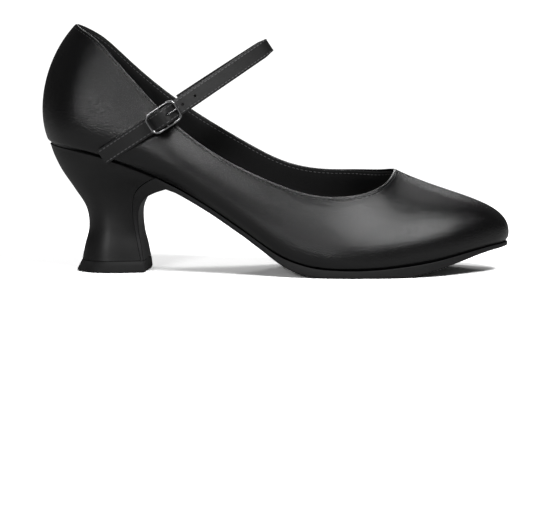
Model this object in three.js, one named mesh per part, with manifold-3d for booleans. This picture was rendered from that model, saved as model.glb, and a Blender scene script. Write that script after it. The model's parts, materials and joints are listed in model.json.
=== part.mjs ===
// Buckled character shoe with a curved heel, right foot. Millimetres, +X to the toe, +Y to the
// inner (medial) side, +Z up, standing on z = 0. The tables are read at a length of 240, a ball
// width of 86 and a heel seat of 66; at() stretches them to the sizes named here.
import * as THREE from "three";
import Module from "manifold-3d";

const LENGTH = 240; // heel back to toe tip
const BALL_WIDTH = 86; // across the upper at the ball
const HEEL_HEIGHT = 66; // floor to the back of the heel seat
const UPPER_HEIGHT = 61; // counter top above the heel seat
const UPPER = 1.2; // vamp and quarter leather
const LINING = 0.8;
const STIFFENER = 0.9; // counter stiffener, toe puff, and the sewn ends of strap and chape
const GAP = 0.3; // between pieces that touch
const MARGIN = 11; // upper leather turned in under the insole
const INSOLE = 2.4;
const SOCK = 0.9;
const PAD = 3.2;
const SOLE = 3; // outsole at the ball; thinner at the waist
const WAIST_SOLE = 2.6;
const TOP_PIECE = 5.7; // heel's rubber tread
const BUCKLE_LENGTH = 17.6; // along the strap, between end bar centres + 1
const BUCKLE_WIDTH = 12;
const WIRE = 1.4; // buckle frame
const PIN = 1; // buckle prong
const STRAP_WIDTH = 8.5;
const STRAP_OUTER = 0.9;
const STRAP_BACKING = 0.7;
const STRAP_SLOPE = 33.4; // degrees the strap's plane rises towards the toe
const HOLE_PITCH = 8;
const SHANK_WIDTH = 12;
const AROUND = 72; // sections round the upper
const UP = 11; // rows up the upper

// Height of the feather line (where upper meets sole) at x.
const FEATHER = [[3.4, 66], [28, 60.7], [48, 53.9], [66.6, 45.8], [85, 35.2], [103.6, 22.7],
  [122, 10.4], [137, 5.2], [150, 3.9], [164, 3.8], [180, 4.9], [199, 7.4], [217, 11.3],
  [230, 13.9], [239.4, 15]];
// Underside of the outsole at x, as far back as the heel breast.
const TREAD = [[62, 45], [77.5, 38], [94, 26.9], [110.6, 14.6], [124, 5], [134, 1], [143, 0],
  [185, 0], [199, 2.6], [214, 7.2], [226.4, 10.9], [239.4, 13.3]];
// Half-widths over everything: x, outer side, inner side.
const WIDTHS = [[4, 13.9, 11.3], [16, 25.6, 24], [28, 29.7, 27.5], [40, 31.7, 29.1],
  [52, 33.6, 29.9], [68, 35.8, 30.2], [88, 36.7, 30.7], [112, 38.3, 32.2], [136, 41.8, 35.1],
  [148, 43.5, 37.3], [160, 43.9, 39.2], [172, 43, 39.9], [184, 41.2, 38.4], [196, 38.2, 35.7],
  [208, 33.9, 31.8], [220, 27.2, 25.9], [232, 18, 17.2]];
// Feather point x, y and topline point x, y, z, from the heel back along each side to the toe.
const BACK = [3.4, 0, 17.6, 0, 126.8];
const TOE = [239.4, 0, 180.5, 0, 52.4];
const OUTER_SIDE = [[5.6, -11, 19, -7.6, 125.9], [13, -19.2, 22.5, -13.2, 123.6],
  [24, -23.7, 30, -18.8, 118.2], [38, -25.8, 40, -23.6, 107.9], [53, -26.4, 53, -27.2, 93.6],
  [69, -27, 67.5, -30.2, 78.9], [87, -28.6, 85, -31.8, 65.2], [105, -31.6, 103, -32.6, 54.8],
  [122, -35.9, 121, -33.4, 46.8], [139, -40, 138, -34, 41.5], [155, -42.2, 152, -33.2, 40.5],
  [171, -41.8, 163, -30.4, 41.6], [186, -39.1, 170.6, -26, 43.9], [201, -34.7, 175.6, -20.4, 46.5],
  [215, -28.3, 178.6, -14, 49.2],
  [228.4, -18.9, 180, -7.6, 51.3], [236.2, -10.8, 180.4, -3.9, 52.1]];
const INNER_SIDE = [[5.6, 10.4, 19.5, 8, 126], [13, 17.8, 24, 14, 123.6],
  [24, 22.2, 31.5, 18.8, 118.6], [38, 22.8, 42, 23, 108.8], [53, 20.4, 54.5, 25.6, 97.5],
  [69, 17.4, 69, 27.2, 86.3], [87, 15.8, 86.5, 27.8, 74.8], [105, 17.4, 103.5, 28.4, 64.7],
  [122, 23.6, 121, 29, 55.6], [139, 31.2, 136.5, 28.6, 51.2], [155, 36.4, 149.5, 26.2, 50.2],
  [171, 38, 160.5, 22.4, 50.5], [186, 36.2, 168.6, 17.8, 50.8], [201, 32.4, 174.2, 13.2, 51.2],
  [215, 26.6, 178, 8.8, 51.8],
  [228.4, 18, 179.8, 4.6, 52.2], [236.2, 10.2, 180.3, 2.2, 52.4]];
// Heel block from tread to seat: share of the height; x of the back, of the breast and of the
// widest place; half-width there, outer and inner; half-width at the breast, outer and inner.
const HEEL_LEVELS = [[0, 19.9, 51.9, 35, 16.5, 16.5, 13.5, 13.5],
  [0.12, 21.2, 50.6, 35, 15.8, 15.8, 12.9, 12.9], [0.3, 23.5, 48.8, 35.5, 14.2, 14.2, 11.7, 11.7],
  [0.48, 22, 47.4, 34.5, 13.9, 13.9, 12, 11.9], [0.64, 15.9, 47.6, 31, 15.8, 15.6, 14.2, 13.6],
  [0.78, 9.8, 49.8, 30, 19, 18.4, 17.8, 16.2], [0.9, 5.9, 54.2, 33, 23, 22, 22.2, 18.2],
  [1, 3.7, 58.6, 36, 25.4, 23.2, 25.4, 19]];
// Outsole where it turns down the breast: share of the heel's height, outer face x, z.
const FLAP = [[0, 53.5, 6], [0.12, 52.4, 12.6], [0.3, 50.9, 20], [0.48, 50.3, 27.5],
  [0.64, 50.9, 33], [0.78, 53.6, 38], [0.9, 58.4, 41.2], [1, 64, 43.4]];
const BREAST_SLANT = 0.1; // the breast stands further forward on the inner side
const BUCKLE_AT = [63.6, -40, 80.9];
// Strap in its own plane: distance along the slope from the buckle, sideways. Tail end first.
const STRAP_PATH = [[-37.6, -29.8], [-33, -31.3], [-28, -32.8], [-20, -34.7], [-13, -35.8],
  [-8.3, -37.1], [-4.6, -40], [-2, -42.7], [0, -43.4], [2, -42.7], [4.6, -40], [8.3, -37],
  [13, -35], [20, -31.2], [30, -25.4], [39.5, -19.6], [48.8, -13.4], [56.4, -7.6], [60.8, -3.6],
  [62.6, 0.4], [60.8, 4.6], [55.4, 10.4], [46.6, 16], [36.8, 20.4], [27, 24], [18, 26.3],
  [11.5, 27.5]];

const k = (x) => (x * LENGTH) / 240, ky = (y) => (y * BALL_WIDTH) / 86;
const wasm = await Module();
wasm.setup();
const V = (x, y, z) => new THREE.Vector3(x, y, z);
const rad = THREE.MathUtils.degToRad;
const group = new THREE.Group();

// ---- curves ----
// Smooth value of a column of a table at x.
function read(table, x, col = 1) {
  const n = table.length;
  let i = 1;
  while (i < n - 1 && table[i][0] < x) i++;
  const slope = (k) => {
    const a = table[Math.max(k - 1, 0)], b = table[Math.min(k + 1, n - 1)];
    return (b[col] - a[col]) / (b[0] - a[0]);
  };
  const [p, q] = [table[i - 1], table[i]], h = q[0] - p[0];
  const s = THREE.MathUtils.clamp((x - p[0]) / h, 0, 1), r = 1 - s;
  return p[col] * (1 + 2 * s) * r * r + q[col] * s * s * (3 - 2 * s)
    + h * (slope(i - 1) * s * r * r - slope(i) * s * s * r);
}
// Periodic cubic spline through equally spaced values.
function loop(values) {
  const n = values.length, m = new Array(n).fill(0), at = (k) => (k + n) % n;
  for (let pass = 0; pass < 60; pass++)
    for (let i = 0; i < n; i++)
      m[i] = (6 * (values[at(i - 1)] - 2 * values[i] + values[at(i + 1)])
        - m[at(i - 1)] - m[at(i + 1)]) / 4;
  return (u) => {
    const k = Math.floor(u), s = u - k, r = 1 - s, i = ((k % n) + n) % n, j = at(i + 1);
    return r * values[i] + s * values[j] + ((r ** 3 - r) * m[i] + (s ** 3 - s) * m[j]) / 6;
  };
}
// A table's point moved to the named sizes.
function at(x, y, z) {
  const base = read(FEATHER, THREE.MathUtils.clamp(x, 3.4, 239.4)), k = HEEL_HEIGHT / 66;
  return V(x * LENGTH / 240, y * BALL_WIDTH / 86,
    z < base ? z * k : base * k + (z - base) * UPPER_HEIGHT / 61);
}

// ---- meshes ----
function mesh(name, geometry, color) {
  geometry.computeVertexNormals();
  const made = new THREE.Mesh(geometry, new THREE.MeshStandardMaterial({ color }));
  made.name = name;
  group.add(made);
  return made;
}
// Rings of points skinned into one closed body; open lofts are capped by strips across the ring.
function loft(rings, closed = false) {
  const n = rings[0].length, count = rings.length, index = [];
  const id = (r, i) => (r % count) * n + ((i + n) % n);
  for (let r = 0; r < (closed ? count : count - 1); r++)
    for (let i = 0; i < n; i++)
      index.push(id(r, i), id(r, i + 1), id(r + 1, i + 1), id(r, i), id(r + 1, i + 1), id(r + 1, i));
  if (!closed)
    for (let i = 0; i < n / 2 - 1; i++) {
      const [a, b, c, d] = [i, i + 1, n - 2 - i, n - 1 - i];
      const tri = (r, p, q, s) => p !== q && q !== s && s !== p
        && index.push(id(r, p), id(r, q), id(r, s));
      tri(0, a, c, b); tri(0, a, d, c);
      tri(count - 1, a, b, c); tri(count - 1, a, c, d);
    }
  const g = new THREE.BufferGeometry().setFromPoints(rings.flat());
  g.setIndex(index);
  return volume(g) < 0 ? turned(g) : g;
}
function volume(g) {
  const p = g.attributes.position, t = g.index.array;
  let v = 0;
  for (let i = 0; i < t.length; i += 3) {
    const [a, b, c] = [0, 1, 2].map((k) => V().fromBufferAttribute(p, t[i + k]));
    v += a.dot(b.cross(c));
  }
  return v;
}
function turned(g) {
  const t = g.index.array;
  for (let i = 0; i < t.length; i += 3) [t[i + 1], t[i + 2]] = [t[i + 2], t[i + 1]];
  return g;
}
function solid(g) {
  return new wasm.Manifold(new wasm.Mesh({ numProp: 3,
    vertProperties: new Float32Array(g.attributes.position.array),
    triVerts: new Uint32Array(g.index.array) }));
}
function geometry(s) {
  const m = s.getMesh(), g = new THREE.BufferGeometry();
  g.setAttribute("position", new THREE.BufferAttribute(new Float32Array(m.vertProperties), 3));
  g.setIndex(new THREE.BufferAttribute(new Uint32Array(m.triVerts), 1));
  return g;
}
// A round rod along a path of points.
function rod(points, radius, sides = 10, closed = false) {
  const n = points.length, rings = [];
  let side = null;
  for (let i = 0; i < n; i++) {
    const a = points[closed ? (i + n - 1) % n : Math.max(i - 1, 0)];
    const b = points[closed ? (i + 1) % n : Math.min(i + 1, n - 1)];
    const dir = b.clone().sub(a).normalize();
    side = side || (Math.abs(dir.y) < 0.9 ? V(0, 1, 0) : V(1, 0, 0));
    side = side.clone().sub(dir.clone().multiplyScalar(side.dot(dir))).normalize();
    const up = dir.clone().cross(side), ring = [];
    for (let k = 0; k < sides; k++) {
      const q = (2 * Math.PI * (k + 0.5)) / sides;
      ring.push(points[i].clone().addScaledVector(side, radius * Math.cos(q))
        .addScaledVector(up, radius * Math.sin(q)));
    }
    rings.push(ring);
  }
  return loft(rings, closed);
}

// ---- the shaped surface of the upper ----
const STATIONS = [BACK, ...OUTER_SIDE, TOE, ...[...INNER_SIDE].reverse()];
const COUNT = STATIONS.length, HALF = COUNT / 2; // heel back at 0, toe tip at HALF
const netting = STATIONS.map(([fx, fy, tx, ty, tz], i) => {
  const side = i === 0 || i === HALF ? 0 : i < HALF ? -1 : 1;
  const k = i <= HALF ? i : COUNT - i; // stations from the heel back, whichever side
  const [p, q] = [STATIONS[(i + COUNT - 1) % COUNT], STATIONS[(i + 1) % COUNT]];
  const out = V(p[1] - q[1], q[0] - p[0], 0).normalize().negate();
  if (!side) out.set(i ? 1 : -1, 0, 0);
  const f = V(fx, fy, read(FEATHER, fx)), t = V(tx, ty, tz), rise = t.z - f.z;
  const end = Math.max(0, 1 - k / 5), front = THREE.MathUtils.smoothstep(k, 9, HALF);
  const up = THREE.MathUtils.lerp(0.2 + 0.02 * end, 0.58, front) * rise;
  const down = THREE.MathUtils.lerp(0.34 - 0.02 * end, 0.42, front) * rise;
  const span = Math.hypot(t.x - f.x, t.y - f.y);
  const reach = THREE.MathUtils.lerp(side ? 3 + 15 * end ** 1.5 : 18.8, 0.53 * span, front);
  const b = t.clone().addScaledVector(out, reach).add(V(0, 0, -down));
  const wide = side ? read(WIDTHS, fx, side < 0 ? 1 : 2) : 0;
  let lo = 0, hi = 40, a = f.clone();
  if (!side) a.addScaledVector(out, i ? 6 : 6.9).add(V(0, 0, i ? 21.6 : 12.5));
  else if (k === 1 || k > HALF - 3) a.addScaledVector(out, 6).add(V(0, 0, up));
  else
    for (let pass = 0; pass < 30; pass++) {
      const mid = (lo + hi) / 2;
      a = f.clone().addScaledVector(out, mid).add(V(0, 0, up));
      let most = 0;
      for (let s = 0; s <= 1; s += 0.05)
        most = Math.max(most, Math.abs(bezier(f.y, a.y, b.y, t.y, s)));
      most > wide ? (hi = mid) : (lo = mid);
    }
  return [f, a, b, t].flatMap((p) => at(p.x, p.y, p.z).toArray());
});
function bezier(a, b, c, d, s) {
  const r = 1 - s;
  return r * r * r * a + 3 * r * r * s * b + 3 * r * s * s * c + s * s * s * d;
}
const tracks = netting[0].map((_, c) => loop(netting.map((row) => row[c])));
function skin(u, t) {
  const p = tracks.map((f) => f(u));
  return V(...[0, 1, 2].map((c) => bezier(p[c], p[3 + c], p[6 + c], p[9 + c], t)));
}
function normal(u, t) {
  const e = 0.02, w = THREE.MathUtils.clamp(t, e, 1 - e);
  const du = skin(u + e, w).sub(skin(u - e, w)), dt = skin(u, w + e).sub(skin(u, w - e));
  return du.cross(dt).normalize().negate();
}
const OUTWARD = normal(8, 0.4).y < 0 ? 1 : -1;
const inset = (u, t, depth) => skin(u, t).addScaledVector(normal(u, t), -OUTWARD * depth);
// Room for the stiffeners and for the sewn ends of strap and chape.
const bell = (d, half, soft) => 1 - THREE.MathUtils.smoothstep(Math.abs(d), half, half + soft);
const ring = (u, c) => ((u - c + COUNT * 1.5) % COUNT) - COUNT / 2;
const STRAP_ROOT = COUNT - 6.08, CHAPE_ROOT = 5.82;
function room(u, t) {
  const high = THREE.MathUtils.smoothstep(t, 0.45, 0.66);
  return (STIFFENER + GAP) * Math.max(bell(ring(u, 0), 4.4, 1.6), bell(ring(u, HALF), 4.8, 1.6),
    high * bell(ring(u, STRAP_ROOT), 0.5, 1.2), high * bell(ring(u, CHAPE_ROOT), 0.5, 1.2));
}
const steps = (a, b, n) => Array.from({ length: n + 1 }, (_, i) => a + ((b - a) * i) / n);
// A shell from depth d0(u,t) in, between rows t0 and t1.
function shell(us, rows, d0, thick) {
  return us.map((u) => {
    const ts = steps(rows(u)[0], rows(u)[1], UP);
    return [...ts.map((t) => inset(u, t, d0(u, t))),
      ...ts.reverse().map((t) => inset(u, t, d0(u, t) + thick))];
  });
}
const everyU = steps(0, COUNT, AROUND).slice(0, -1);

// Upper: one leather skin, its lower margin turned in under the insole.
const upperRings = everyU.map((u) => {
  const f = skin(u, 0), ts = steps(0, 1, UP);
  const centre = V(THREE.MathUtils.clamp(f.x, 22 * LENGTH / 240, 205 * LENGTH / 240), 0, 0);
  const inward = V(centre.x - f.x, -f.y, 0).normalize();
  const turnIn = (d, lift) => {
    const p = f.clone().addScaledVector(inward, d);
    return V(p.x, p.y, footbed(p.x) + lift);
  };
  const most = Math.min(MARGIN, ky(MARGIN)), under = f.x > k(30) && f.x < k(125)
    ? Math.min(most, Math.abs(f.y) - SHANK_WIDTH / 2 - 0.8) : most;
  return [turnIn(under, 0), turnIn(under * 0.5, 0), turnIn(1, 0), ...ts.map((t) => inset(u, t, 0)),
    ...ts.slice(1).reverse().map((t) => inset(u, t, UPPER)),
    turnIn(UPPER + 0.4, UPPER), turnIn(under * 0.5, UPPER), turnIn(under, UPPER)];
});
function footbed(x) {
  const k = 240 / LENGTH;
  return (read(FEATHER, THREE.MathUtils.clamp(x * k, 3.4, 239.4)) * HEEL_HEIGHT) / 66;
}
mesh("upper", loft(upperRings, true), 0x161616);

const liningDepth = (u, t) => UPPER + GAP + room(u, t);
const liningRows = (u) => [0.16, 0.985];
const vampU = everyU.filter((u) => u > 10.4 && u < COUNT - 10.4);
const quarterU = [...everyU.filter((u) => u >= COUNT - 10), ...everyU.filter((u) => u <= 10)];
mesh("vamp_lining", loft(shell(vampU, liningRows, liningDepth, LINING)), 0x2a2a2c);
mesh("quarter_lining", loft(shell(quarterU, liningRows, liningDepth, LINING)), 0x2a2a2c);
const stiffDepth = () => UPPER + GAP;
const heelU = [...everyU.filter((u) => u >= COUNT - 4.3), ...everyU.filter((u) => u <= 4.3)];
const toeU = everyU.filter((u) => Math.abs(u - HALF) <= 4.7);
const thinRow = (u, c, high) => [0.17, high - 0.26 * Math.min(1, Math.abs(ring(u, c)) / 4.7) ** 2];
mesh("counter_stiffener",
  loft(shell(heelU, (u) => thinRow(u, 0, 0.8), stiffDepth, STIFFENER - GAP)), 0x8a7a5c);
mesh("toe_puff",
  loft(shell(toeU, (u) => thinRow(u, HALF, 0.62), stiffDepth, STIFFENER - GAP)), 0x8a7a5c);

// ---- inside the bottom ----
const BOARD_LOW = UPPER + GAP, SOCK_LOW = BOARD_LOW + INSOLE + GAP;
// Crosswise pairs of outline points, from the heel back to the toe.
const ribs = (from, to, n) => steps(from, to, n).map((k) => [k, COUNT - k]);
const inwards = (u, d) => {
  const n = normal(u, 0.02).multiplyScalar(-OUTWARD);
  n.z = 0;
  return skin(u, 0).addScaledVector(n.normalize(), d);
};
// A plate whose outline is edge(u) and whose faces follow low(x) and high(x).
function plate(pairs, edge, low, high, across = 2) {
  return loft(pairs.map(([a, b]) => {
    const [p, q] = [edge(a), edge(b)];
    const row = (z) => steps(0, 1, across).map((s) => {
      const c = p.clone().lerp(q, s);
      return V(c.x, c.y, z(c.x));
    });
    return [...row(high), ...row(low).reverse()];
  }));
}
const bedAt = (lift) => (x) => footbed(x) + lift;
// Fasteners: [x, y] on the footbed.
const SCREW = [k(29), 0], NAILS = [[k(21), ky(5.5)], [k(21), ky(-5.5)], [k(43), SHANK_WIDTH / 2 + 2],
  [k(43), -SHANK_WIDTH / 2 - 2]], RIVETS = [[k(52), 0], [k(112), 0]], DOWELS = [[k(30), 0], [k(43), 0]];
const upright = (x, y, z0, z1, r, sides = 12) => rod([V(x, y, z0), V(x, y, z1)], r, sides);
const stud = (x, y, z0, z1, r, headR, head, extra = 0) =>
  solid(upright(x, y, z0 - extra, z1 + extra, r + extra))
    .add(solid(upright(x, y, z1 - head - extra, z1 + extra, headR + extra)));
// Heads sink level with the insole board, whose top slopes by this much under a head.
const headTop = (x, r) => Math.min(footbed(x - r), footbed(x + r)) + BOARD_LOW + INSOLE - 0.1;
const screw = (e) => stud(...SCREW, headTop(SCREW[0], 4.2) - 34, headTop(SCREW[0], 4.2), 2, 4.2,
  1.2, e);
const nail = ([x, y], e) => stud(x, y, headTop(x, 2.2) - 17, headTop(x, 2.2), 0.9, 2.2, 0.8, e);
// Rivets stand square to the sloping shank.
const rivet = ([x, y], e) => {
  const up = V(footbed(x - 1) - footbed(x + 1), 0, 2).normalize(), foot = V(x, y, footbed(x));
  const peg = (d0, d1, r) => solid(rod([foot.clone().addScaledVector(up, d0 - e),
    foot.clone().addScaledVector(up, d1 + e)], r + e, 12));
  const top = (BOARD_LOW + INSOLE) * up.z - 0.15;
  return peg(0, top, 1.6).add(peg(top - 0.8, top, 3));
};
const cut = (g, tools) => tools.reduce((s, t) => s.subtract(t), solid(g));
const fixings = [screw(GAP), ...NAILS.map((n) => nail(n, GAP)), ...RIVETS.map((n) => rivet(n, GAP))];
mesh("insole_board", geometry(cut(plate(ribs(0.3, HALF - 0.3, 44), (u) => inwards(u, 2.3),
  bedAt(BOARD_LOW), bedAt(BOARD_LOW + INSOLE)), fixings)), 0x9b7a4f);
mesh("sock_liner", plate(ribs(0.3, HALF - 0.4, 44), (u) => inwards(u, 2.6), bedAt(SOCK_LOW), bedAt(SOCK_LOW + SOCK)),
  0x242426);
const padEdge = (u) => inset(u, 0.2, liningDepth(u, 0.2) + LINING + 3.2);
mesh("heel_pad", plate(ribs(0.4, 6.2, 16), padEdge, bedAt(SOCK_LOW + SOCK + GAP),
  (x) => footbed(x) + SOCK_LOW + SOCK + GAP + PAD * Math.max(0.25, Math.min(1, (k(74) - x) / k(26))),
  6), 0x303033);
const shank = loft(steps(k(39), k(122), 18).map((x) => [-1, 1].flatMap((top) =>
  [-1, 1].map((side) => V(x, side * top * -SHANK_WIDTH / 2,
    footbed(x) + (top > 0 ? UPPER : 0.05))))));
mesh("shank", geometry(cut(shank, RIVETS.map((n) => rivet(n, GAP)))), 0x8c9196);
RIVETS.forEach((n, i) => mesh("shank_rivet_" + (i + 1), geometry(rivet(n, 0)), 0xb0a070));
mesh("bottom_filler", plate(ribs(9.6, HALF - 1.8, 22), (u) => inwards(u, MARGIN + 1.2),
  bedAt(0.05), bedAt(UPPER)), 0x6b5a3a);

// ---- heel ----
const seatZ = (x) => footbed(x) - GAP;
// One level of the heel: points from the outer front corner round the back to the inner one.
function heelRing(level, low, grow = 0, front = 0, flare = 0) {
  const [share, back, breast, mid, wo, wi, fo, fi] = level;
  const side = (w, f, sign) => [
    ...steps(0, 1, 5).slice(0, -1).map((s) => {
      const x = breast + front - s * (breast + front - mid);
      return [x, sign * (f + grow + (w - f) * (1 - (1 - s) ** 2))];
    }),
    ...steps(0, Math.PI / 2, 12).slice(0, -1).map((q) => [mid - (mid - back + grow + flare) * Math.sin(q),
      sign * (w + grow) * Math.cos(q)])];
  const all = [...side(wo, fo, -1), [back - grow - flare, 0], ...side(wi, fi, 1).reverse()];
  return all.map(([x, y]) => {
    const lean = BREAST_SLANT * y * (1 - share ** 2) * THREE.MathUtils.smoothstep(x, mid, breast);
    return V(k(x + lean), ky(y), low + share * (seatZ(k(x + lean)) - low));
  });
}
const column = (share, c) => read(HEEL_LEVELS, share, c);
const levels = steps(0, 1, 16).map((s) => [s, ...steps(1, 7, 6).map((c) => column(s, c))]);
const blockLow = TOP_PIECE + GAP;
const dowel = ([x, y], e) => solid(upright(x, y, 2.4 - e, 16 + e, 2.5 + e));
mesh("heel_block", geometry(cut(loft(levels.map((l) => heelRing(l, blockLow))),
  [screw(GAP), ...NAILS.map((n) => nail(n, GAP)), ...DOWELS.map((d) => dowel(d, GAP))])), 0x1a1a1a);
mesh("heel_screw", geometry(screw(0)), 0x9aa0a6);
NAILS.forEach((n, i) => mesh("heel_nail_" + (i + 1), geometry(nail(n, 0)), 0x9aa0a6));
DOWELS.forEach((d, i) => mesh("top_piece_dowel_" + (i + 1), geometry(dowel(d, 0)), 0x777777));
const tread = (z, grow, front, flare) => heelRing(HEEL_LEVELS[0], z, grow, front, flare)
  .map((p) => V(p.x, p.y, z));
mesh("top_piece", geometry(cut(loft([tread(0, 0.3, 1.9, 2.1), tread(0.7, 0.7, 2.1, 1.9),
  tread(TOP_PIECE * 0.6, 0.4, 1.9, 0.8), tread(TOP_PIECE, 0, 1.7, 0)]), DOWELS.map((d) => dowel(d, GAP)))),
0x202020);

// ---- outsole: forepart and waist, then down the breast of the heel ----
const soleEdge = (u) => inwards(u, -0.7 * THREE.MathUtils.smoothstep(Math.abs(HALF - u), 12, 7)
  - 0.1);
const under = (x) => Math.max(0, read(TREAD, Math.max(62, (x * 240) / LENGTH)) * HEEL_HEIGHT / 66);
const soleRows = ribs(6, HALF - 0.25, 42).reverse().map(([a, b]) => {
  const [p, q] = [soleEdge(a), soleEdge(b)];
  const low = (x) => Math.min(under(x), footbed(x) - GAP - (x > k(130) ? 1.6 : WAIST_SOLE));
  return [V(p.x, p.y, seatZ(p.x)), V(q.x, q.y, seatZ(q.x)), V(q.x, q.y, Math.max(0, low(q.x))),
    V(p.x, p.y, Math.max(0, low(p.x)))];
});
const flapRows = steps(0, 1, 12).reverse().map((s) => {
  const [breast, fo, fi] = [2, 6, 7].map((c) => column(s, c));
  const put = (x, y, z) => V(k(x + BREAST_SLANT * y * (1 - s * s)), ky(y), z);
  const inner = blockLow + s * (seatZ(k(breast)) - blockLow);
  const lift = HEEL_HEIGHT / 66, outer = Math.max(blockLow, read(FLAP, s, 2) * lift);
  const gap = GAP * 1.5, drop = s > 0.7 ? -gap * 0.4 : 0;
  return [put(breast + gap, -fo, inner + drop), put(breast + gap, fi, inner + drop),
    put(read(FLAP, s, 1), fi, outer), put(read(FLAP, s, 1), -fo, outer)];
});
mesh("outsole", loft([...soleRows, ...flapRows]), 0x262626);

// ---- strap, buckle and chape ----
const tilt = rad(STRAP_SLOPE), hub = at(...BUCKLE_AT);
const along = V(Math.cos(tilt), 0, Math.sin(tilt)), wide = V(-Math.sin(tilt), 0, Math.cos(tilt));
// A point of the strap's plane: w along the slope, y sideways from the shoe's middle, v across.
const local = (w, y, v = 0) => V(hub.x, hub.y + (y - BUCKLE_AT[1]), hub.z)
  .addScaledVector(along, w).addScaledVector(wide, v);
const spread = ([w, y]) => {
  const far = THREE.MathUtils.smoothstep(w, 9, 30) + THREE.MathUtils.smoothstep(-w, 9, 20);
  const past = Math.max(0, Math.abs(w) - 9) * (LENGTH / 240 - 1);
  return [w + Math.sign(w) * past,
    y + (ky(y) - y - (hub.y - BUCKLE_AT[1])) * Math.min(1, far)];
};
const strapCurve = new THREE.CatmullRomCurve3(STRAP_PATH.map(spread).map(([w, y]) => V(w, y, 0)),
  false, "centripetal");
// A band of the strap between two depths measured outwards from its middle line.
function band(curve, from, to, n, d0, d1, width, trim = 0) {
  return loft(steps(from, to, n).map((s, i) => {
    const c = curve.getPoint(s), t = curve.getTangent(s), out = V(t.y, -t.x, 0);
    const half = width / 2 - (i === n ? trim : 0);
    return [[d0, -half], [d0, half], [d1, half], [d1, -half]].map(([d, v]) => {
      const p = c.clone().addScaledVector(out, d);
      return local(p.x, p.y, v);
    });
  }));
}
const pinLine = (angle, r, from = 1) => {
  const turn = new THREE.Matrix4().makeRotationAxis(wide, angle);
  const spot = (w, y) => local(w, BUCKLE_AT[1] + y).sub(hub).applyMatrix4(turn).add(hub);
  return solid(rod([spot(from, -1.5), spot(8, -1.5)], r, 12));
};
const slot = [0, 0.15, 0.3, 0.45, 0.6].map((a) => pinLine(-a, PIN / 2 + 0.45, 0.6));
// The spare holes follow the buckle up the slope, on the side of the strap that climbs.
const spare = [1, 2].map((i) => {
  const w = HOLE_PITCH * (i + 0.55), s = steps(0.3, 0.7, 800).find((q) => strapCurve.getPoint(q).x > w);
  const c = strapCurve.getPoint(s), t = strapCurve.getTangent(s);
  const out = V(t.y, -t.x, 0).multiplyScalar(3);
  return solid(rod([local(c.x - out.x, c.y - out.y), local(c.x + out.x, c.y + out.y)], 1, 12));
});
const holes = [...slot, ...spare];
mesh("strap_outer", geometry(cut(band(strapCurve, 0, 1, 76, GAP / 2, GAP / 2 + STRAP_OUTER,
  STRAP_WIDTH), holes)), 0x181818);
mesh("strap_backing", geometry(cut(band(strapCurve, 0, 1, 76, -GAP / 2 - STRAP_BACKING, -GAP / 2,
  STRAP_WIDTH), holes)), 0x222222);

// Buckle: a rounded frame with a bar across its middle.
const halfL = BUCKLE_LENGTH / 2 - 0.5, halfW = BUCKLE_WIDTH / 2 - WIRE / 2, corner = 2.8;
const frame = [[1, 1], [-1, 1], [-1, -1], [1, -1]].flatMap(([a, b], quarter) =>
  steps(0, Math.PI / 2, 6).map((q) => {
    const turn = q + (quarter * Math.PI) / 2;
    return local(a * (halfL - corner) + corner * Math.cos(turn), BUCKLE_AT[1],
      b * (halfW - corner) + corner * Math.sin(turn));
  }));
const bar = rod([local(0, BUCKLE_AT[1], -halfW), local(0, BUCKLE_AT[1], halfW)], 0.8, 12);
mesh("buckle_frame", geometry(solid(rod(frame, WIRE / 2, 10, true)).add(solid(bar))), 0x9a9da2);
const eye = 0.8 + 0.25 + PIN / 2;
const pin = [...steps(0, 300, 16).reverse().map((d) => local(-eye * Math.sin(rad(-d)) * -1,
  BUCKLE_AT[1] - eye * Math.cos(rad(d)))), local(3, BUCKLE_AT[1] - eye - 0.02),
local(halfL + 1.2, BUCKLE_AT[1] - eye + 0.02)];
mesh("buckle_prong", rod(pin, PIN / 2, 10), 0xa4a7ac);

// Chape: a band round the centre bar, slotted for the prong, sewn in under the lining.
const chapeCurve = new THREE.CatmullRomCurve3([[2.6, -29.9], [4.2, -31], [4.5, -33.4], [3.4, -36],
  [2.2, -38.3], [1.65, -40], [1.2, -41.2], [0, -41.68], [-1.2, -41.2], [-1.66, -40], [-1.2, -38.4],
  [0.3, -36.6], [1.9, -35]].map(([w, y]) => V(w, y, 0)), false, "centripetal");
const notch = new THREE.Matrix4().makeBasis(along, V(0, 1, 0), wide)
  .setPosition(local(-1, BUCKLE_AT[1] + 0.5));
const box = new THREE.BoxGeometry(9, 6.4, PIN + 1);
box.deleteAttribute("uv");
box.deleteAttribute("normal");
const { mergeVertices } = await import("three/addons/utils/BufferGeometryUtils.js");
const opening = solid(turned(turned(mergeVertices(box.applyMatrix4(notch)))));
mesh("buckle_chape", geometry(cut(band(chapeCurve, 0, 1, 40, -0.4, 0.4, 7.4), [opening])), 0x1c1c1c);

// Ends of strap and chape sewn between upper and lining.
function sewnEnd(u0, half, aim) {
  const depth = UPPER + GAP, thin = STIFFENER - GAP;
  const row = (t, lift) => [[-half, depth], [0, depth], [half, depth], [half, depth + thin],
    [0, depth + thin], [-half, depth + thin]].map(([du, d]) => inset(u0 + du, t, d).add(lift));
  const top = aim.clone().sub(skin(u0, 1)).multiplyScalar(0.3);
  return loft([...steps(0.72, 1, 5).map((t) => row(t, V())), row(1, top)]);
}
const strapRoot = strapCurve.getPoint(1), chapeRoot = chapeCurve.getPoint(0);
mesh("strap_sewn_end", sewnEnd(STRAP_ROOT, 0.24, local(strapRoot.x, strapRoot.y)), 0x181818);
mesh("chape_sewn_end", sewnEnd(CHAPE_ROOT, 0.22, local(chapeRoot.x, chapeRoot.y)), 0x1c1c1c);

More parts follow.
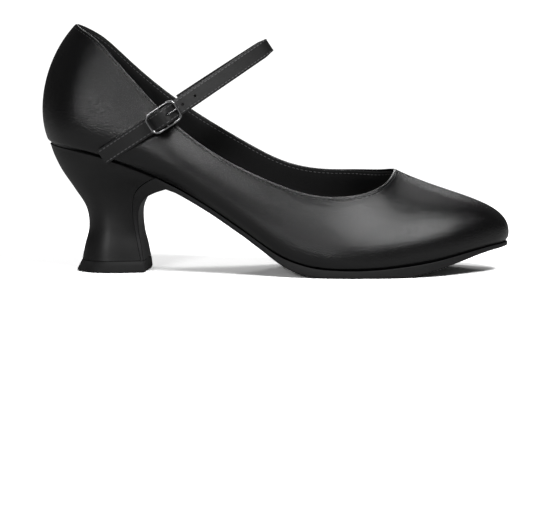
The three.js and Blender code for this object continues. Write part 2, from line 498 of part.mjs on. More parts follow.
// Stand the shoe on the ground, centred.
const bounds = new THREE.Box3();
group.children.forEach((m) => bounds.expandByObject(m));
const middle = bounds.getCenter(V());
group.children.forEach((m) => m.geometry.translate(-middle.x, -middle.y, -bounds.min.z));

export default group;
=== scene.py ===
import json
import math

import bmesh
import bpy
import numpy as np
from mathutils import Matrix, Vector


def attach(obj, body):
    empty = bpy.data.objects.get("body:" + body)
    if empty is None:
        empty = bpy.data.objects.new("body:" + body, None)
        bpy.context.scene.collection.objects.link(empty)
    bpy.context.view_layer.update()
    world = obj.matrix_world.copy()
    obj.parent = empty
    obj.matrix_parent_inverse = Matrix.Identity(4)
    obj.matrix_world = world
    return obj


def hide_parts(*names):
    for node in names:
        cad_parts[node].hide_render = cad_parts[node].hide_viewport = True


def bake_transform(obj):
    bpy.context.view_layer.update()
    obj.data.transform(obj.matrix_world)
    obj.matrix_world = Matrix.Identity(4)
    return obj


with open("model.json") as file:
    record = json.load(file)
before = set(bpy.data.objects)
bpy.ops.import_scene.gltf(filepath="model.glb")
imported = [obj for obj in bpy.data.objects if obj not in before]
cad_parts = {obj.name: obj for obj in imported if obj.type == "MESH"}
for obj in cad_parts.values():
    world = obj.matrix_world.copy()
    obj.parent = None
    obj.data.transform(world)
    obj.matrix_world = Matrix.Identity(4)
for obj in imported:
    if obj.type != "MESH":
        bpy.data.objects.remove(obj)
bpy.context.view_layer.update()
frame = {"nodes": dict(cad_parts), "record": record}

# ---- Upper ----
# One skin of smooth black leather, 1.2 mm thick, lasted over the form: stiff and upright round
# the heel, low at the sides, closed over the toes, its lower margin turned in under the insole.
# Sizes are in millimetres with x from the back of the heel; row() takes them to the frame.
FEATHER = [[3.4, 66], [28, 60.7], [48, 53.9], [66.6, 45.8], [85, 35.2], [103.6, 22.7],
           [122, 10.4], [137, 5.2], [150, 3.9], [164, 3.8], [180, 4.9], [199, 7.4], [217, 11.3],
           [230, 13.9], [239.4, 15]]
WIDTHS = [[4, 13.9, 11.3], [16, 25.6, 24], [28, 29.7, 27.5], [40, 31.7, 29.1], [52, 33.6, 29.9],
          [68, 35.8, 30.2], [88, 36.7, 30.7], [112, 38.3, 32.2], [136, 41.8, 35.1],
          [148, 43.5, 37.3], [160, 43.9, 39.2], [172, 43, 39.9], [184, 41.2, 38.4],
          [196, 38.2, 35.7], [208, 33.9, 31.8], [220, 27.2, 25.9], [232, 18, 17.2]]
# Feather point x, y and topline point x, y, z from the heel back along each side to the toe.
BACK = [3.4, 0, 17.6, 0, 126.8]
TOE = [239.4, 0, 180.5, 0, 52.4]
OUTER_SIDE = [[5.6, -11, 19, -7.6, 125.9], [13, -19.2, 22.5, -13.2, 123.6],
              [24, -23.7, 30, -18.8, 118.2], [38, -25.8, 40, -23.6, 107.9],
              [53, -26.4, 53, -27.2, 93.6], [69, -27, 67.5, -30.2, 78.9],
              [87, -28.6, 85, -31.8, 65.2], [105, -31.6, 103, -32.6, 54.8],
              [122, -35.9, 121, -33.4, 46.8], [139, -40, 138, -34, 41.5],
              [155, -42.2, 152, -33.2, 40.5], [171, -41.8, 163, -30.4, 41.6],
              [186, -39.1, 170.6, -26, 43.9], [201, -34.7, 175.6, -20.4, 46.5],
              [215, -28.3, 178.6, -14, 49.2], [228.4, -18.9, 180, -7.6, 51.3],
              [236.2, -10.8, 180.4, -3.9, 52.1]]
INNER_SIDE = [[5.6, 10.4, 19.5, 8, 126], [13, 17.8, 24, 14, 123.6], [24, 22.2, 31.5, 18.8, 118.6],
              [38, 22.8, 42, 23, 108.8], [53, 20.4, 54.5, 25.6, 97.5], [69, 17.4, 69, 27.2, 86.3],
              [87, 15.8, 86.5, 27.8, 74.8], [105, 17.4, 103.5, 28.4, 64.7],
              [122, 23.6, 121, 29, 55.6], [139, 31.2, 136.5, 28.6, 51.2],
              [155, 36.4, 149.5, 26.2, 50.2], [171, 38, 160.5, 22.4, 50.5],
              [186, 36.2, 168.6, 17.8, 50.8], [201, 32.4, 174.2, 13.2, 51.2],
              [215, 26.6, 178, 8.8, 51.8], [228.4, 18, 179.8, 4.6, 52.2],
              [236.2, 10.2, 180.3, 2.2, 52.4]]
UPPER, LINING, STIFFENER, GAP = 1.2, 0.8, 0.9, 0.3
FRAME_ORIGIN = (119.979, -2.243, 0)


def row(p):
    """Millimetres from the back of the heel to the frame's metres."""
    return (np.asarray(p, float) - FRAME_ORIGIN) / 1000


def smoothstep(x, a, b):
    s = np.clip((np.asarray(x, float) - a) / (b - a), 0, 1)
    return s * s * (3 - 2 * s)


def read(table, x, col=1):
    """Smooth value of a table's column at x."""
    t = np.array(table, float)
    xs, ys, x = t[:, 0], t[:, col], np.asarray(x, float)
    slope = np.empty(len(xs))
    slope[1:-1] = (ys[2:] - ys[:-2]) / (xs[2:] - xs[:-2])
    slope[0], slope[-1] = (ys[1] - ys[0]) / (xs[1] - xs[0]), (ys[-1] - ys[-2]) / (xs[-1] - xs[-2])
    i = np.clip(np.searchsorted(xs, x), 1, len(xs) - 1)
    h = xs[i] - xs[i - 1]
    s = np.clip((x - xs[i - 1]) / h, 0, 1)
    r = 1 - s
    return (ys[i - 1] * (1 + 2 * s) * r * r + ys[i] * s * s * (3 - 2 * s)
            + h * (slope[i - 1] * s * r * r - slope[i] * s * s * r))


def bezier(a, b, c, d, s):
    r = 1 - s
    return r ** 3 * a + 3 * r * r * s * b + 3 * r * s * s * c + s ** 3 * d


stations = [BACK] + OUTER_SIDE + [TOE] + INNER_SIDE[::-1]
COUNT = len(stations)
HALF = COUNT // 2


def lasting_curves():
    """The four points of each station's curve, from the feather line up to the topline."""
    rows = []
    for i, (fx, fy, tx, ty, tz) in enumerate(stations):
        side = 0 if i in (0, HALF) else -1 if i < HALF else 1
        k = i if i <= HALF else COUNT - i
        p, q = stations[i - 1], stations[(i + 1) % COUNT]
        out = -np.array([p[1] - q[1], q[0] - p[0], 0.0])
        out /= np.linalg.norm(out)
        if not side:
            out = np.array([1.0 if i else -1.0, 0, 0])
        f, t = np.array([fx, fy, float(read(FEATHER, fx))]), np.array([tx, ty, tz], float)
        rise, end, front = t[2] - f[2], max(0, 1 - k / 5), float(smoothstep(k, 9, HALF))
        up = (0.2 + 0.02 * end + (0.58 - 0.2 - 0.02 * end) * front) * rise
        down = (0.34 - 0.02 * end + (0.42 - 0.34 + 0.02 * end) * front) * rise
        span = math.hypot(t[0] - f[0], t[1] - f[1])
        base = 3 + 15 * end ** 1.5 if side else 18.8
        b = t + out * (base + (0.53 * span - base) * front) + np.array([0, 0, -down])
        if not side:
            a = f + out * (6 if i else 6.9) + np.array([0, 0, 21.6 if i else 12.5])
        elif k == 1 or k > HALF - 3:
            a = f + out * 6 + np.array([0, 0, up])
        else:
            wide, lo, hi = float(read(WIDTHS, fx, 1 if side < 0 else 2)), 0.0, 40.0
            for _ in range(30):
                mid = (lo + hi) / 2
                a = f + out * mid + np.array([0, 0, up])
                most = np.abs(bezier(f[1], a[1], b[1], t[1], np.linspace(0, 1, 21))).max()
                lo, hi = (lo, mid) if most > wide else (mid, hi)
        rows.append(np.concatenate([f, a, b, t]))
    return np.array(rows)


def periodic(rows):
    """Second derivatives of the closed smooth curve through equally spaced rows."""
    n = len(rows)
    m = np.zeros((n, n))
    for i in range(n):
        m[i, i] = 4
        m[i, (i - 1) % n] += 1
        m[i, (i + 1) % n] += 1
    return np.linalg.solve(m, 6 * (np.roll(rows, 1, 0) - 2 * rows + np.roll(rows, -1, 0)))


net = lasting_curves()
net_bend = periodic(net)


def skin(u, t):
    """A point of the outer surface, in millimetres; u runs round, t from sole to topline."""
    u, t = np.broadcast_arrays(np.asarray(u, float), np.asarray(t, float))
    k = np.floor(u).astype(int)
    s = (u - k)[..., None]
    r, i, j = 1 - s, k % COUNT, (k + 1) % COUNT
    p = (r * net[i] + s * net[j]
         + ((r ** 3 - r) * net_bend[i] + (s ** 3 - s) * net_bend[j]) / 6)
    return bezier(p[..., 0:3], p[..., 3:6], p[..., 6:9], p[..., 9:12], t[..., None])


def outward(u, t):
    e = 0.02
    w = np.clip(t, e, 1 - e)
    n = np.cross(skin(u + e, w) - skin(u - e, w), skin(u, w + e) - skin(u, w - e))
    return n / np.linalg.norm(n, axis=-1, keepdims=True)


# Station 8 is on the outer side, where outwards is towards -Y.
facing = -1 if outward(np.array(8.0), np.array(0.4))[1] > 0 else 1


def inset(u, t, depth):
    u, t = np.broadcast_arrays(np.asarray(u, float), np.asarray(t, float))
    return skin(u, t) - facing * outward(u, t) * np.asarray(depth, float)[..., None]


def footbed(x):
    return read(FEATHER, np.clip(x, 3.4, 239.4))


def inwards(u, d):
    """A point of the feather line moved level towards the middle by d."""
    u = np.asarray(u, float)
    n = -facing * outward(u, np.full(u.shape, 0.02))
    n[..., 2] = 0
    n /= np.linalg.norm(n, axis=-1, keepdims=True)
    return skin(u, np.zeros(u.shape)) + n * np.asarray(d, float)[..., None]


def laid_grid(name, points, lengths=None):
    """A grid whose points (in the frame) are laid over a form; edges that meet are joined."""
    points = np.asarray(points, float)
    a, b = points.shape[0] - 1, points.shape[1] - 1
    bm = bmesh.new()
    uv = bm.loops.layers.uv.new("UVMap")
    bmesh.ops.create_grid(bm, x_segments=a, y_segments=b, size=1)
    bm.verts.ensure_lookup_table()
    spot = {}
    for v in bm.verts:
        spot[v.index] = (round((v.co.x + 1) / 2 * a), round((v.co.y + 1) / 2 * b))
    across = np.zeros(points.shape[:2])
    across[1:] = np.linalg.norm(np.diff(points, axis=0), axis=2).mean(1).cumsum()[:, None]
    upward = np.zeros(points.shape[:2])
    upward[:, 1:] = np.linalg.norm(np.diff(points, axis=1), axis=2).mean(0).cumsum()[None]
    for face in bm.faces:
        for corner in face.loops:
            i, j = spot[corner.vert.index]
            corner[uv].uv = (across[i, j], upward[i, j])
    for v in bm.verts:
        v.co = points[spot[v.index]]
    bmesh.ops.remove_doubles(bm, verts=bm.verts, dist=2e-6)
    rims = [e for e in bm.edges if e.is_boundary]
    if rims:
        made = bmesh.ops.holes_fill(bm, edges=rims, sides=0)
        bmesh.ops.triangulate(bm, faces=[f for f in made["faces"] if len(f.verts) > 4])
    bmesh.ops.recalc_face_normals(bm, faces=bm.faces)
    if bm.calc_volume(signed=True) < 0:
        bmesh.ops.reverse_faces(bm, faces=bm.faces)
    return finished(name, bm)


def finished(name, bm, crease=40):
    mesh = bpy.data.meshes.new(name)
    for f in bm.faces:
        f.smooth = True
    for e in bm.edges:
        if len(e.link_faces) == 2 and e.calc_face_angle(0) > math.radians(crease):
            e.smooth = False
    bm.to_mesh(mesh)
    bm.free()
    piece = bpy.data.objects.new(name, mesh)
    bpy.context.scene.collection.objects.link(piece)
    return piece


class Wire:
    """A shader socket that can be written in sums."""

    def __init__(self, tree, socket):
        self.tree, self.socket = tree, socket

    def sum(self, operation, *values):
        n = self.tree.nodes.new("ShaderNodeMath")
        n.operation = operation
        for i, v in enumerate(values):
            if isinstance(v, Wire):
                self.tree.links.new(v.socket, n.inputs[i])
            else:
                n.inputs[i].default_value = v
        return Wire(self.tree, n.outputs[0])

    def __add__(self, other):
        return self.sum("ADD", self, other)

    def __radd__(self, other):
        return self.sum("ADD", other, self)

    def __mul__(self, other):
        return self.sum("MULTIPLY", self, other)

    def __rmul__(self, other):
        return self.sum("MULTIPLY", other, self)

    def step(self, a, b):
        n = self.tree.nodes.new("ShaderNodeMapRange")
        n.interpolation_type = "SMOOTHSTEP"
        self.tree.links.new(self.socket, n.inputs[0])
        n.inputs[1].default_value, n.inputs[2].default_value = a, b
        return Wire(self.tree, n.outputs[0])


class Finish:
    """One material: its nodes are added by kind, and its shader's sockets are set by name."""

    def __init__(self, name):
        self.material = bpy.data.materials.new(name)
        self.material.use_nodes = True
        self.tree = self.material.node_tree
        self.shader = self.tree.nodes["Principled BSDF"]
        self.place = self.node("ShaderNodeTexCoord", out="Object")

    def node(self, kind, settings=None, inputs=None, out=0):
        n = self.tree.nodes.new(kind)
        for key, value in (settings or {}).items():
            if key == "stops":
                while len(n.color_ramp.elements) < len(value):
                    n.color_ramp.elements.new(0.5)
                for e, (at, c) in zip(n.color_ramp.elements, value):
                    e.position, e.color = at, (*c, 1)
            else:
                setattr(n, key, value)
        for key, value in (inputs or {}).items():
            socket = n.inputs[key]
            if isinstance(value, Wire):
                self.tree.links.new(value.socket, socket)
            else:
                socket.default_value = value
        return Wire(self.tree, n.outputs[out])

    def noise(self, scale, detail=3, rough=0.5, place=None):
        return self.node("ShaderNodeTexNoise", {}, {"Vector": place or self.place, "Scale": scale,
                         "Detail": detail, "Roughness": rough})

    def cells(self, scale):
        return self.node("ShaderNodeTexVoronoi", {}, {"Vector": self.place, "Scale": scale},
                         "Distance")

    def colours(self, fac, stops):
        return self.node("ShaderNodeValToRGB", {"stops": stops}, {"Fac": fac}, "Color")

    def bump(self, height, distance, strength=1.0):
        inputs = {"Height": height, "Distance": distance, "Strength": strength}
        return self.node("ShaderNodeBump", {}, inputs, "Normal")

    def set(self, **sockets):
        for key, value in sockets.items():
            socket = self.shader.inputs[key.replace("_", " ")]
            if isinstance(value, Wire):
                self.tree.links.new(value.socket, socket)
            else:
                socket.default_value = value
        return self.material


def grained_leather(name, dark, light, grain=1100, depth=0.00016, rough=0.3, spread=0.12):
    """Finished leather: fine irregular grain, pores, and a finish that varies a little."""
    f = Finish(name)
    warp = f.noise(420, 2)
    pebble = f.cells(grain)
    pores = f.noise(grain * 2.6, 2, 0.6)
    patches = f.noise(38, 3, 0.55)
    height = pebble * 0.8 + pores * 0.35 + warp * 0.22
    tone = patches * 0.7 + pebble * 0.3
    f.set(Base_Color=f.colours(tone, [(0.3, dark), (0.7, light)]),
          Roughness=rough + spread * patches + 0.06 * pores,
          Specular_IOR_Level=0.5, Normal=f.bump(height, depth, 0.8))
    return f.material


def wear(piece, *materials):
    """Puts one or more finishes on a piece."""
    piece.data.materials.clear()
    for m in materials:
        piece.data.materials.append(m)
    return piece


around = np.linspace(0, COUNT, 341)
leather = grained_leather("upper_leather", (0.0025, 0.0025, 0.0027), (0.006, 0.006, 0.0063),
                          1650, 0.00017, 0.17, 0.09)


def edge_pull(u, t):
    """How far the skin draws in as it rolls under the sole edge."""
    return 0.9 * (1 - smoothstep(t, 0, 0.05)) ** 1.4


def upper_skin():
    f = skin(around, 0 * around)
    centre = np.stack([np.clip(f[:, 0], 22, 205), 0 * around, f[:, 2]], 1)
    inward = centre - f
    inward[:, 2] = 0
    inward /= np.linalg.norm(inward, axis=1)[:, None]
    reach = np.where((f[:, 0] > 30) & (f[:, 0] < 125), np.minimum(11, np.abs(f[:, 1]) - 6.8), 11)

    def turned_in(d, lift):
        p = f + inward * np.broadcast_to(d, around.shape)[:, None]
        p[:, 2] = footbed(p[:, 0]) + lift
        return p
    lanes = [turned_in(reach, 0), turned_in(reach * 0.5, 0), turned_in(2.2, 0),
             turned_in(1.2, 0)]
    for t in np.concatenate([[0.012], np.linspace(0.03, 0.985, 54)]):
        lanes.append(inset(around, t + 0 * around, edge_pull(around, t)))
    top, up = inset(around, 0.985 + 0 * around, UPPER / 2), skin(around, 1.0 + 0 * around)
    lean = facing * outward(around, 0.98 + 0 * around)
    rise = up - skin(around, 0.95 + 0 * around)
    rise /= np.linalg.norm(rise, axis=1)[:, None]
    span = np.linalg.norm(up - skin(around, 0.985 + 0 * around), axis=1)[:, None]
    for a in np.linspace(0, math.pi, 9)[1:-1]:
        lanes.append(top + lean * UPPER / 2 * math.cos(a) + rise * span * math.sin(a))
    for t in np.linspace(0.985, 0.08, 14):
        lanes.append(inset(around, t + 0 * around, UPPER))
    lanes += [turned_in(UPPER + 0.6, UPPER), turned_in(reach * 0.5, UPPER), turned_in(reach, UPPER)]
    lanes.append(lanes[0])
    return row(np.stack(lanes, 1))


upper = wear(laid_grid("lasted_upper", upper_skin()), leather)
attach(upper, "shoe")
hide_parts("upper")

# ---- Linings ----
# Two soft fabric-backed linings, 0.8 mm, glued inside the leather and sewn to it along the
# topline: one round the quarters, one over the toes, meeting at the sides under the vamp.
def room(u, t):
    """Space left for the stiffeners and for the sewn ends of the strap and of the chape."""
    def ring(c):
        return (u - c + COUNT * 1.5) % COUNT - COUNT / 2

    def bell(c, half, soft):
        return 1 - smoothstep(np.abs(ring(c)), half, half + soft)
    high = smoothstep(t, 0.45, 0.66)
    return (STIFFENER + GAP) * np.maximum.reduce([bell(0, 4.4, 1.6), bell(HALF, 4.8, 1.6),
                                                  high * bell(COUNT - 6, 0.5, 1.2),
                                                  high * bell(5.75, 0.5, 1.2)])


def lining_depth(u, t):
    """Depth of the lining's glued side; it closes on the leather just under the topline."""
    snug = 0.22 * smoothstep(t, 0.9, 0.98)
    return UPPER + GAP - snug + room(u, t) * (1 - 0.6 * smoothstep(t, 0.93, 1))


def lining_skin(us, low=0.16, high=0.988):
    def at(t, extra):
        t = np.full(us.shape, t)
        return inset(us, t, lining_depth(us, t) + extra)
    ts = np.linspace(low, high, 40)
    lanes = [at(t, 0) for t in ts]
    lanes += [at(high + 0.004, 0.12), at(high + 0.006, LINING / 2), at(high + 0.004, LINING - 0.12)]
    lanes += [at(t, LINING) for t in ts[::-1]] + [lanes[0]]
    return row(np.stack(lanes, 1))


def lining_cloth():
    """Fine knitted lining cloth, almost black, with a soft nap."""
    f = Finish("lining_cloth")
    thread = f.cells(1500)
    nap = f.noise(900, 3, 0.6)
    patch = f.noise(60, 2)
    height = thread * 0.8 + nap * 0.6
    f.set(Base_Color=f.colours(nap * 0.6 + patch * 0.4,
                               [(0.3, (0.0035, 0.0035, 0.0037)), (0.7, (0.009, 0.009, 0.0093))]),
          Roughness=0.72 + 0.2 * nap, Specular_IOR_Level=0.35, Sheen_Weight=0.05,
          Sheen_Roughness=0.4, Normal=f.bump(height, 0.00012, 1.0))
    return f.material


cloth = lining_cloth()
quarter_lining = wear(laid_grid("quarter_lining_cloth", lining_skin(
    np.linspace(COUNT - 10.2, COUNT + 10.2, 190))), cloth)
vamp_lining = wear(laid_grid("vamp_lining_cloth", lining_skin(
    np.linspace(10.19, COUNT - 10.19, 150))), cloth)
for lining, node in ((quarter_lining, "quarter_lining"), (vamp_lining, "vamp_lining")):
    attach(lining, "shoe")
    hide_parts(node)

# ---- Topline stitching ----
# Bonded thread, 0.3 mm, in a single row 1.9 mm below the folded edge, joining leather and
# lining: black on the leather, and grey where it shows again on the lining.
EDGE_ROW, STITCH_PITCH, SUNK = 1.9, 2.3, 0.02


def stitched(name, places, runs, faces, long=1.7, thick=0.17):
    """One thread stitch at each place, lying along its run with its back to its face."""
    bm = bmesh.new()
    for p, run, face in zip(places, runs, faces):
        run, face = Vector(run).normalized(), Vector(face).normalized()
        side = face.cross(run).normalized()
        turn = Matrix((run, side, face)).transposed().to_4x4()
        spot = Matrix.Translation(Vector(p)) @ turn @ Matrix.Diagonal(
            (long / 2000, thick / 1000, thick * 0.8 / 1000, 1))
        bmesh.ops.create_uvsphere(bm, u_segments=8, v_segments=5, radius=1,
                                  matrix=spot @ Matrix.Rotation(math.pi / 2, 4, "Y"))
    return finished(name, bm, 80)


def thread_finish(name, dark, light):
    f = Finish(name)
    twist = f.node("ShaderNodeTexWave", {"wave_type": "BANDS"},
                   {"Vector": f.place, "Scale": 1400.0, "Distortion": 2.0})
    f.set(Base_Color=f.colours(twist, [(0, dark), (1, light)]),
          Roughness=0.5 + 0.2 * twist, Normal=f.bump(twist, 0.00004, 0.6))
    return f.material


def along_edge(depth, below, pitch):
    """Evenly spaced places on a line below the topline: place, run and face in the frame."""
    us = np.linspace(0, COUNT, 2400)
    rise = np.linalg.norm(skin(us, 0 * us + 1) - skin(us, 0 * us + 0.9), axis=1) / 0.1
    ts = 1 - below / rise
    line = row(inset(us, ts, np.broadcast_to(depth(us, ts), us.shape)))
    gone = np.concatenate([[0], np.linalg.norm(np.diff(line, axis=0), axis=1).cumsum()])
    marks = np.arange(0.4, gone[-1] * 1000 - 0.4, pitch) / 1000
    keep = np.interp(marks, gone, us)
    t = np.interp(keep, us, ts)
    place = np.stack([np.interp(marks, gone, line[:, c]) for c in range(3)], 1)
    ahead = np.stack([np.interp(marks + 0.0005, gone, line[:, c]) for c in range(3)], 1)
    return place, ahead - place, facing * outward(keep, t)


thread = thread_finish("waxed_thread", (0.07, 0.07, 0.072), (0.17, 0.17, 0.174))
black_thread = thread_finish("black_thread", (0.012, 0.012, 0.0125), (0.035, 0.035, 0.036))
edge_stitches = wear(stitched("topline_stitches", *along_edge(
    lambda u, t: SUNK + 0 * u, EDGE_ROW, STITCH_PITCH)), black_thread)
inner_place, inner_run, inner_face = along_edge(
    lambda u, t: lining_depth(u, t) + LINING - SUNK, EDGE_ROW, STITCH_PITCH)
inside_stitches = wear(stitched("lining_stitches", inner_place, inner_run, -inner_face), thread)
for row_of in (edge_stitches, inside_stitches):
    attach(row_of, "shoe")

# ---- Insole, sock and heel pad ----
# A fibre board with a black sock glued over it, and under the heel of the sock a thin domed
# foam pad. Only the sock and the rise of the pad show inside the shoe.
BOARD_LOW, INSOLE, SOCK, PAD = UPPER + GAP, 2.4, 0.9, 3.2
SOCK_TOP = BOARD_LOW + INSOLE + GAP + SOCK


def floor_skin(us, edge, top, under, across=26):
    """A plate inside the shoe between the outer edge at u and the inner edge opposite."""
    a, b = edge(us), edge(COUNT - us)
    s = np.linspace(0, 1, across)
    lane = a[:, None] + (b - a)[:, None] * s[None, :, None]
    x = lane[..., 0]
    reach = np.linalg.norm(b - a, axis=1)[:, None]
    rim = np.minimum(s, 1 - s)[None] * reach
    high, low = lane.copy(), lane.copy()
    high[..., 2], low[..., 2] = footbed(x) + top(x, rim), footbed(x) + under(x, rim)
    return row(np.concatenate([high, low[:, ::-1], high[:, :1]], 1))


def sock_leather():
    return grained_leather("sock_leather", (0.004, 0.004, 0.0043), (0.009, 0.009, 0.0095), 1900,
                           0.00005, 0.5, 0.16)


sock_finish = sock_leather()
sock = wear(laid_grid("sock", floor_skin(
    np.linspace(0.12, HALF - 0.3, 120),
    lambda u: inset(u, np.full(u.shape, 0.2), UPPER + GAP + LINING + room(u, np.full(u.shape, 0.2))
                    - 0.1),
    lambda x, rim: SOCK_TOP + 0.5 * np.exp(-(rim / 1.6) ** 2), lambda x, rim: SOCK_TOP - SOCK)),
    sock_finish)
pad = wear(laid_grid("heel_pad_dome", floor_skin(
    np.linspace(0.3, 6.4, 60),
    lambda u: inset(u, np.full(u.shape, 0.2), 5.0 + room(u, np.full(u.shape, 0.2))),
    lambda x, rim: SOCK_TOP + 0.15 + PAD * (1 - np.exp(-(rim / 3.2) ** 1.6))
    * (1 - smoothstep(x, 40, 73)) * smoothstep(x, 2, 11),
    lambda x, rim: SOCK_TOP - 0.2 + 0 * x, 30)), sock_finish)
for piece, node in ((sock, "sock_liner"), (pad, "heel_pad")):
    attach(piece, "shoe")
    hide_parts(node)

# ---- Outsole ----
# Cemented black resin-finished sole, about 4 mm at the ball and 2.8 mm at the waist, drawn down
# the breast of the heel to the top piece. The tread is buffed dull; its edge is trimmed smooth.
TREAD = [[62, 45], [77.5, 38], [94, 26.9], [110.6, 14.6], [124, 5], [134, 1], [143, 0], [185, 0],
         [199, 2.6], [214, 7.2], [226.4, 10.9], [239.4, 13.3]]
FLAP = [[0, 53.5, 6], [0.12, 52.4, 12.6], [0.3, 50.9, 20], [0.48, 50.3, 27.5], [0.64, 50.9, 33],
        [0.78, 53.6, 38], [0.9, 58.4, 41.2], [1, 64, 43.4]]
HEEL_LEVELS = [[0, 19.9, 51.9, 35, 16.5, 16.5, 13.5, 13.5],
               [0.12, 21.2, 50.6, 35, 15.8, 15.8, 12.9, 12.9],
               [0.3, 23.5, 48.8, 35.5, 14.2, 14.2, 11.7, 11.7],
               [0.48, 22, 47.4, 34.5, 13.9, 13.9, 12, 11.9],
               [0.64, 15.9, 47.6, 31, 15.8, 15.6, 14.2, 13.6],
               [0.78, 9.8, 49.8, 30, 19, 18.4, 17.8, 16.2],
               [0.9, 5.9, 54.2, 33, 23, 22, 22.2, 18.2], [1, 3.7, 58.6, 36, 25.4, 23.2, 25.4, 19]]
TOP_PIECE, BREAST_SLANT = 5.7, 0.1
SEAT, FLAP_PROUD, FLAP_GLUE = 0.12, 0.12, 0.15
BALL_LEAST, WAIST_LEAST = 1.6, 2.6


def slab_ring(left_top, right_top, right_low, left_low, round_top=0.25, round_low=0.8):
    """A closed ring round a flat strip section with eased corners: (x, y, z) corners in mm."""
    lt, rt, rl, ll = (np.asarray(p, float) for p in (left_top, right_top, right_low, left_low))
    pts = [lt + (rt - lt) * s for s in np.linspace(0.01, 0.99, 9)]

    def corner(c, a, b, r):
        ua, ub = a - c, b - c
        la, lb = np.linalg.norm(ua), np.linalg.norm(ub)
        ra, rb = min(r, la * 0.45), min(r, lb * 0.45)
        p, q = c + ua / max(la, 1e-6) * ra, c + ub / max(lb, 1e-6) * rb
        return [(1 - s) ** 2 * p + 2 * s * (1 - s) * c + s * s * q for s in (0, 0.25, 0.5, 0.75, 1)]
    pts += corner(rt, lt, rl, round_top) + corner(rl, rt, ll, round_low)
    pts += [rl + (ll - rl) * s for s in np.linspace(0.05, 0.95, 17)]
    pts += corner(ll, rl, lt, round_low) + corner(lt, ll, rt, round_top)
    return pts + pts[:1]


def sole_skin():
    rings = []
    us = np.concatenate([HALF - 0.6 * (1 - np.cos(np.linspace(0.2, math.pi / 2, 14))),
                         np.linspace(HALF - 0.62, 6, 150)])
    swell = (0.7 - 0.8 * smoothstep(np.abs(HALF - us), 1.5, 5)
             - 0.7 * smoothstep(-np.abs(HALF - us), -12, -7))
    for p, q in zip(inwards(us, swell), inwards(COUNT - us, swell)):
        def low(x):
            tread = max(0.0, float(read(TREAD, max(62, x))))
            return max(0.0, min(tread, float(footbed(x)) - GAP - (
                BALL_LEAST if x > 130 else WAIST_LEAST)))
        top = [float(footbed(v[0])) - SEAT for v in (p, q)]
        rings.append(slab_ring((p[0], p[1], top[0]), (q[0], q[1], top[1]),
                               (q[0], q[1], low(q[0])), (p[0], p[1], low(p[0])),
                               round_low=0.9))
    block_low = TOP_PIECE + GAP
    for s in np.linspace(1, 0, 60):
        breast, fo, fi = (float(read(HEEL_LEVELS, s, c)) for c in (2, 6, 7))
        fo, fi = fo + FLAP_PROUD, fi + FLAP_PROUD

        def put(x, y, z):
            return (x + BREAST_SLANT * y * (1 - s * s), y, z)
        inner = block_low + s * (float(footbed(breast)) - GAP - block_low)
        outer, face = max(block_low, float(read(FLAP, s, 2))), float(read(FLAP, s, 1))
        rings.append(slab_ring(put(breast + FLAP_GLUE, -fo, inner),
                               put(breast + FLAP_GLUE, fi, inner),
                               put(face, fi, outer), put(face, -fo, outer), round_low=0.7))
    return row(np.array(rings)[:, ::-1])


def sole_finish():
    f = Finish("sole_resin")
    mottle, grit = f.noise(55, 4, 0.6), f.noise(1600, 3, 0.6)
    drag = f.node("ShaderNodeMapping", {}, {"Vector": f.place, "Scale": (40.0, 900.0, 900.0)})
    brushed = f.noise(1.0, 3, 0.6, place=drag)
    f.set(Base_Color=f.colours(mottle * 0.6 + brushed * 0.4,
                               [(0.3, (0.006, 0.006, 0.0063)), (0.7, (0.014, 0.014, 0.0145))]),
          Roughness=0.42 + 0.2 * mottle + 0.1 * grit, Specular_IOR_Level=0.45,
          Normal=f.bump(grit * 0.7 + brushed * 0.5, 0.00006, 0.7))
    return f.material


outsole = wear(laid_grid("sole", sole_skin()), sole_finish())
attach(outsole, "shoe")
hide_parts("outsole")

# ---- Heel block ----
# Moulded heel, waisted and swept forward at the back, its seat cupped to the shoe. It wears a
# tight black cover, smoother than the upper.
def heel_ring(level, low, grow=0.0, front=0.0, flare=0.0):
    share, back, breast, mid, wo, wi, fo, fi = level

    def side(w, f, sign):
        pts = []
        for s in np.linspace(0, 1, 16)[:-1]:
            pts.append((breast + front - s * (breast + front - mid),
                        sign * (f + grow + (w - f) * (1 - (1 - s) ** 2))))
        for q in np.linspace(0, math.pi / 2, 37)[:-1]:
            pts.append((mid - (mid - back + grow + flare) * math.sin(q),
                        sign * (w + grow) * math.cos(q)))
        return pts
    ring = side(wo, fo, -1) + [(back - grow - flare, 0.0)] + side(wi, fi, 1)[::-1]
    edge = [(ring[-1][0] + (ring[0][0] - ring[-1][0]) * s, ring[-1][1] + (ring[0][1] - ring[-1][1]) * s)
            for s in np.linspace(0, 1, 12)[1:]]
    out = []
    for x, y in ring + edge:
        x += BREAST_SLANT * y * (1 - share ** 2) * float(smoothstep(x, mid, breast))
        out.append((x, y, low + share * (float(footbed(x)) - SEAT - low)))
    return out


def heel_skin():
    levels = [[s] + [float(read(HEEL_LEVELS, s, c)) for c in range(1, 8)]
              for s in np.linspace(0, 1, 64)]
    rings = [heel_ring(levels[0], TOP_PIECE + 0.12, -0.35)]
    rings[0] = [(x, y, TOP_PIECE + 0.1) for x, y, z in rings[0]]
    rings += [heel_ring(lv, TOP_PIECE + 0.25) for lv in levels[:-1]]
    last = heel_ring(levels[-1], TOP_PIECE + 0.25, -0.5)
    rings += [[(x, y, z - 0.6) for x, y, z in heel_ring(levels[-1], TOP_PIECE + 0.25, 0.0)],
              [(x, y, z - 0.25) for x, y, z in heel_ring(levels[-1], TOP_PIECE + 0.25, -0.2)],
              last]
    return row(np.array(rings))


